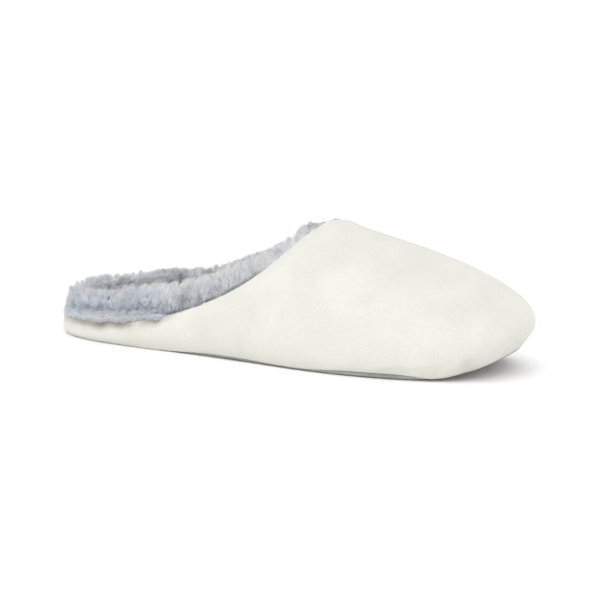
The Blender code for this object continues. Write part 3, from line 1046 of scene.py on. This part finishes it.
# what makes the pile darker or paler, with painted shade and painted light among it, and the channels of
# its plain grey
GROOVE_PAINTED_SHADE = 0.72
SHADE_WAVES = 0.16
NEUTRAL_TONE = np.array([0.10, 0.06, -0.01])
THROAT_PAINTED_SHADE = 0.20
INNER_PAINTED_LIGHT = 0.15
MEDIAL_PAINTED_LIGHT = 0.09
CLEFT_PAINTED_SHADE = 0.28
INNER_CLEFT_PAINTED_SHADE = 0.14
FOOT_DARK = 0.50
CREST_PAINTED_HIGHLIGHT = 0.10


def collar_pile(places, edge, skin, hang, even):
    """Length, lean and shade of the strands over the fur band, and where its fringe is."""
    way = np.linspace(0.0, 1.0, COLLAR_STEPS)[None, :, None]
    heelward = from_heel(places)[:, None, None]
    station = places[:, None, None]
    front = throat_middle(edge)[..., None]
    throat = smooth(-0.005, 0.012, edge[:, 0])[:, None, None]
    inside = smooth(0.44, 0.56, way)
    fringe = hang * (1.0 - smooth(0.04, 0.12, way))
    ragged = waves(skin, size=0.007, seed=21)[..., None]
    # groove along the waist: strands shorter there, and darkened by painted shade
    along_waist = smooth(2.6, 3.1, heelward) * smooth(4.8, 4.1, heelward)
    waist_groove = along_waist * (1.0 - smooth(0.012, 0.042, way + 0.014 * ragged))
    # clefts between locks, shallower along the crest; strands are shorter there and darkened by painted
    # shade
    calm = CREST_CALM * smooth(0.25, 0.38, way) * smooth(0.56, 0.48, way)
    cleft = smooth(0.15, 0.50, waves(skin, size=0.0045, seed=25)[..., None])
    cleft = cleft * smooth(0.05, 0.12, way) * (1.0 - calm)

    # strands stand off the outer face, lie over the top and hang inside; at the throat they lie inward
    leans = np.interp(way, LEAN_WAYS, LEANS) - FRINGE_STAND * hang * (1.0 - smooth(0.0, 0.12, way))
    leans = (1.0 - front) * leans + front * (0.3 + 0.9 * smooth(0.0, 0.2, way))
    leans = leans + LEAN_WAVES * waves(skin, size=0.013, seed=23)[..., None]

    lengths = even * (EDGE_PILE + (1.0 - EDGE_PILE) * smooth(0.0, 0.3, way))
    lengths *= 1.0 - FOOT_SHORT * smooth(0.8, 1.0, way)
    lengths *= 1.0 + THROAT_LONG * throat * (1.0 - front)
    lengths *= 1.0 + fringe * (-FRINGE_SHORT + FRINGE_RAGGED * ragged)
    lengths *= 1.0 - SEAM_SHORT * waist_groove
    lengths *= 1.0 + LENGTH_WAVES * waves(skin, size=0.011, seed=22)[..., None]
    lengths *= 1.0 - (CLEFT_SHORT + INNER_CLEFT_SHORT * inside) * cleft

    # painted shade in the waist's groove, and random tone
    shades = (1.0 - GROOVE_PAINTED_SHADE * waist_groove) * (1.0 + SHADE_WAVES * waves(skin, size=0.008, seed=24)[..., None])
    shades = shades * (1.0 + edge_value(places, "neutral")[:, None, None] * NEUTRAL_TONE)
    # painted shade over the throat
    shades *= 1.0 - THROAT_PAINTED_SHADE * smooth(5.9, 6.7, heelward)
    # painted light over the inside of the band, most on the medial side
    medial = smooth(8.5, 9.5, station) * smooth(15.8, 15.0, station)
    shades *= 1.0 + (INNER_PAINTED_LIGHT + MEDIAL_PAINTED_LIGHT * medial) * smooth(0.40, 0.60, way)
    # painted shade in the clefts
    shades *= 1.0 - (CLEFT_PAINTED_SHADE + INNER_CLEFT_PAINTED_SHADE * inside) * cleft
    # in the shade where it meets the footbed
    shades *= 1.0 - FOOT_DARK * smooth(0.76, 0.88, way + 0.10 * ragged)
    # painted highlight along the lateral side's crest
    brushed = smooth(1.8, 2.6, station) * smooth(5.2, 4.4, station)
    shades *= 1.0 + CREST_PAINTED_HIGHLIGHT * brushed * smooth(0.22, 0.32, way) * smooth(0.50, 0.42, way)
    return lengths, leans, shades, fringe


COLLAR_STRANDS = 64000
# how deep the backing lies under the pile's surface, in shares of the pile, and less so at the fringe
BACKING_DEPTH = 0.85
FRINGE_DEPTH = 0.5
COMB_TOEWARD = 0.6
COMB_DRIFT = 1.6


def make_collar():
    places = even_edge_places(COLLAR_STATIONS)
    controls = rib_controls(places)
    crown, edge = controls[2:4]
    band = fur_band(places)
    section, back = collar_section(places, controls, band)
    skin = section_curve(section, COLLAR_STEPS)
    around = np.roll(skin, -1, 0) - np.roll(skin, 1, 0)
    over = unit(np.gradient(skin, axis=1))
    outward = unit(np.cross(around, over))
    # turned to the outside of the section
    if np.sum((skin - skin.mean(axis=1, keepdims=True)) * outward) < 0:
        outward = -outward
    hang = edge_value(places, "hang")[:, None]
    even = PILE_OF_THICK * band[2] + PILE_OF_STAND * band[0]
    lengths, leans, shades, fringe = collar_pile(places, edge, skin, hang[..., None], even[..., None])
    depth = BACKING_DEPTH - FRINGE_DEPTH * fringe
    backing = skin - outward * lengths * depth / np.sqrt(1.0 + leans ** 2)
    core = np.concatenate([backing[:, ::2], back], axis=1)
    knit = backing_material("fur_backing", (0.52, 0.54, 0.58), (0.70, 0.72, 0.76))
    base = loft("collar_backing", core, knit)
    place_piece(base, "fur", "collar")

    # combed towards the toe along both sides
    drift = waves(skin, size=0.022, seed=5)[..., None]
    toeward = unit(around) * np.where(places < ROWS / 2, 1.0, -1.0)[:, None, None]
    comb = (smooth(0.2, 1.2, from_heel(places)) * smooth(7.4, 6.2, from_heel(places)))[:, None, None]
    flow = unit(over * (1.0 - COMB_TOEWARD * comb) + toeward * comb + unit(around) * drift * COMB_DRIFT)
    strand = strand_material("grey_fur")
    add_fringe(backing[:, 0], back[:, -1], around[:, 0], unit(edge - crown), hang, places, strand)
    grids = [np.concatenate([grid, grid[:1]]) for grid in (backing, outward, flow, lengths, leans, shades)]
    half = COLLAR_STATIONS // 2
    for side, rows, seed in (("lateral", slice(0, half + 1), 11), ("medial", slice(half, None), 12)):
        backs, *parts = (grid[rows] for grid in grids)
        roots, values, area = scatter(backs, parts, COLLAR_STRANDS, seed)
        up, run, length, lean, shade = values
        add_fur(
            "collar_fur_" + side, roots, up, run, length, lean, area,
            COLLAR_COAT, strand, "fur", seed + 20, shade,
        )


FRINGE_STRANDS = 20000
FRINGE_END = 2.95
# length and lean of the fringe's hairs, and what changes both where it droops
FRINGE_LENGTH = 0.0036
DROOP_SHORT = 0.0019
FRINGE_LEAN = 0.35
DROOP_LEAN = 0.55


def add_fringe(top, bottom, around, beyond, hang, places, material):
    """Short hairs along the collar's lower edge round the heel, hanging over the velvet's rim."""
    share = np.linspace(0.0, 0.5, 4)[None, :, None]
    grid = top[:, None] + (bottom - top)[:, None] * share
    facing = unit(np.cross(bottom - top, around))
    outside = np.sum(facing * (top - grid.mean(axis=(0, 1))), axis=1, keepdims=True)
    facing = facing * np.where(outside < 0.0, -1.0, 1.0)
    columns = (facing, -beyond, hang, from_heel(places)[:, None])
    values = [value[:, None] * np.ones_like(share) for value in columns]
    roots, values, area = scatter(grid, values, FRINGE_STRANDS, seed=81)
    keep = values[3][:, 0] < FRINGE_END
    roots = roots[keep]
    up, run, droop = (value[keep] for value in values[:3])
    uneven = 0.3 * waves(roots, size=0.006, seed=83)[:, None]
    lengths = (FRINGE_LENGTH - DROOP_SHORT * droop) * (1.0 + uneven)
    leans = FRINGE_LEAN + DROOP_LEAN * droop
    add_fur(
        "collar_fringe", roots, up, run, lengths, leans, area * keep.mean(),
        COLLAR_COAT, material, "fur", 82,
    )


FOOTBED_STATIONS = 240
FOOTBED_ACROSS = 28
FOOTBED_STRANDS = 66000
FOOTBED_PILE = 0.0062
FOOTBED_LEAN = 0.85
# how deep the pad lies under the fur's surface
FOOTBED_DEPTH = 0.0022
# height and inset of the outlines up the pad's edge
FOOTBED_LEVELS = ((0.0, 0.0004), (0.0015, 0.0), (0.0030, 0.0002), (0.0038, 0.0008), (INSOLE_EDGE, 0.0022))


def make_footbed():
    base = SOLE_THICKNESS + SEAM_GAP
    rings = plate_rings(even_places(FOOTBED_STATIONS), FOOTBED_LEVELS, base, WALL + SEAM_GAP)

    def under(x, y, share):
        return base + sole_lift(x, y)

    def over(x, y, share):
        return footbed_height(x, y, share) - FOOTBED_DEPTH * np.minimum(1.0, 8.0 * share * (1.0 - share))

    material = backing_material("footbed_backing", (0.09, 0.095, 0.11), (0.22, 0.23, 0.26))
    footbed = plate("footbed_pad", rings, FOOTBED_ACROSS, under, over, material)
    place_piece(footbed, "footbed", "insole")

    grid = cover_grid(rings[-1], FOOTBED_ACROSS, over)
    along = unit(np.gradient(grid, axis=0))
    across = unit(np.gradient(grid, axis=1))
    up = unit(np.cross(along, across))
    # swirls of the pile, in radians
    angle = 3.4 * waves(grid, size=0.036, seed=8) + 1.4 * waves(grid, size=0.014, seed=9)
    angle = angle[..., None]
    flow = -along * np.cos(angle) + across * np.sin(angle)
    strand = strand_material("footbed_fur")
    roots, values, area = scatter(grid, [up, flow], FOOTBED_STRANDS, seed=31)
    lengths = FOOTBED_PILE * (1.0 + 0.35 * waves(roots, size=0.0055, seed=33)[:, None])
    leans = FOOTBED_LEAN + 0.5 * waves(roots, size=0.009, seed=34)[:, None]
    add_fur(
        "footbed_fur", roots, *values, lengths, leans, area,
        FOOTBED_COAT, strand, "footbed", 51,
    )


# The lining runs round the vamp between two places, from a length over the hem to a share of the rib
LINING_PLACE = 2.2
LINING_START = 0.0020
LINING_TOP = 0.90
LINING_STATIONS = 170
LINING_STEPS = 40
LINING_SAMPLES = 960
LINING_RIB_SAMPLES = 60
LINING_NEAR = 0.0003
LINING_FAR = 0.0011
LINING_STRANDS = 30000
LINING_PILE = 0.0055
LINING_LEAN = 0.8


def make_lining():
    """Fur on the inside of the vamp, from the throat to the toe."""
    places = np.linspace(LINING_PLACE, ROWS - LINING_PLACE, LINING_STATIONS)
    whole = rib_controls(even_places(LINING_SAMPLES))
    even = np.linspace(0.0, 1.0, LINING_RIB_SAMPLES)
    left = length_to_edge(rib_points(whole, even[None, :]))
    low = np.array([np.interp(LINING_START, row[0] - row, even) for row in left])
    shares = low[:, None] + (LINING_TOP - low)[:, None] * np.linspace(0.0, 1.0, LINING_STEPS)[None, :]
    full = rib_points(whole, shares)
    inward = inward_normals(full)
    rows = np.round(places * LINING_SAMPLES / ROWS).astype(int)
    near = full[rows] + inward[rows] * (WALL + LINING_NEAR)
    far = full[rows] + inward[rows] * (WALL + LINING_FAR)
    stations, steps = near.shape[:2]
    skins = np.concatenate([near, far[:, ::-1]], axis=1)
    count = skins.shape[1]
    faces = [grid_faces(closed_numbers(stations, count))]
    for station in (0, stations - 1):
        numbers = station * count + np.arange(count)
        strip = grid_faces(np.stack([numbers[:steps], numbers[:-steps - 1:-1]], axis=1))
        faces.append(strip if station == 0 else strip[:, ::-1])
    faces = np.concatenate(faces)
    material = backing_material("lining_backing", (0.09, 0.095, 0.11), (0.24, 0.25, 0.28))
    base = mesh_object("vamp_lining", skins.reshape(-1, 3), material, faces)
    place_piece(base, "fur")
    along = unit(np.gradient(far, axis=1))
    around = unit(np.gradient(far, axis=0))
    drift = waves(far, size=0.025, seed=14)[..., None]
    flow = unit(along + around * drift)
    roots, values, area = scatter(far, [inward[rows], flow], LINING_STRANDS, seed=61)
    ones = np.ones((len(roots), 1))
    add_fur(
        "vamp_lining_fur", roots, *values, LINING_PILE * ones, LINING_LEAN * ones,
        area, LINING_COAT, strand_material("lining_fur"), "fur", 71,
    )


# Floor, light and camera

FLOOR_HALF = 40.0


def make_floor():
    material, tree, shader = new_material("pale_floor")
    mottle = add_noise(tree, Scale=3.0, Detail=2.0)
    tones = ((0.3, (0.965, 0.965, 0.965)), (0.7, (0.975, 0.975, 0.975)))
    add_tones(tree, mottle, shader.inputs["Base Color"], *tones)
    set_values(shader, Roughness=0.9, Specular_IOR_Level=0.1)
    corners = FLOOR_HALF * np.array([(-1, -1, 0), (1, -1, 0), (1, 1, 0), (-1, 1, 0)])
    floor = mesh_object("floor", corners, material, quads=[(0, 1, 2, 3)])


# Even lights from far away: direction towards each, spread in degrees that softens it, strength
Sun = namedtuple("Sun", "name toward spread strength")
SUNS = (
    Sun("key", (0.15, -0.52, 0.84), 60.0, 0.44),
    Sun("fill", (0.62, -0.76, 0.16), 80.0, 0.50),
    Sun("heel_fill", (-0.60, -0.76, 0.25), 80.0, 0.50),
)


def add_sun(sun):
    light = bpy.data.lights.new(sun.name, "SUN")
    light.angle = math.radians(sun.spread)
    light.energy = sun.strength
    item = bpy.data.objects.new(sun.name, light)
    item.rotation_euler = Vector(sun.toward).to_track_quat("Z", "Y").to_euler()
    bpy.context.scene.collection.objects.link(item)


def make_light():
    scene = bpy.context.scene
    world = bpy.data.worlds.new("studio")
    world.use_nodes = True
    sky = world.node_tree.nodes["Background"]
    sky.inputs["Color"].default_value = (1.0, 1.0, 1.0, 1.0)
    sky.inputs["Strength"].default_value = 1.0
    scene.world = world
    for sun in SUNS:
        add_sun(sun)
    scene.view_settings.view_transform = "Standard"
    scene.view_settings.look = "None"


AZIMUTH = math.radians(22.0)
ELEVATION = math.radians(11.0)
ROLL = math.radians(1.6)
DISTANCE = 1.2
FOCAL_PIXELS = 2245.0
FRAME_PIXELS = 600.0
SENSOR = 36.0
# point the camera turns about, and the shift of its aim to the right and down
MIDDLE = Vector((0.0, 0.0, 0.030))
AIM_RIGHT = 0.0045
AIM_DOWN = 0.0035


def make_camera():
    back = Vector((
        math.sin(AZIMUTH) * math.cos(ELEVATION),
        -math.cos(AZIMUTH) * math.cos(ELEVATION),
        math.sin(ELEVATION),
    ))
    right = Vector((math.cos(AZIMUTH), math.sin(AZIMUTH), 0.0))
    up = back.cross(right)
    place = MIDDLE + back * DISTANCE
    aim = MIDDLE + right * AIM_RIGHT - up * AIM_DOWN
    back = (place - aim).normalized()
    right = Vector((0.0, 0.0, 1.0)).cross(back).normalized()
    up = back.cross(right)
    rolled_right = right * math.cos(ROLL) + up * math.sin(ROLL)
    rolled_up = up * math.cos(ROLL) - right * math.sin(ROLL)
    data = bpy.data.cameras.new("camera")
    data.sensor_width = SENSOR
    data.sensor_fit = "HORIZONTAL"
    data.lens = SENSOR * FOCAL_PIXELS / FRAME_PIXELS
    data.clip_start = 0.01
    camera = bpy.data.objects.new("camera", data)
    turn = Matrix((rolled_right, rolled_up, back)).transposed().to_4x4()
    camera.matrix_world = Matrix.Translation(place) @ turn
    bpy.context.scene.collection.objects.link(camera)
    bpy.context.scene.camera = camera


make_camera()
make_upper()
make_sole()
make_collar()
make_footbed()
make_lining()
make_floor()
make_light()
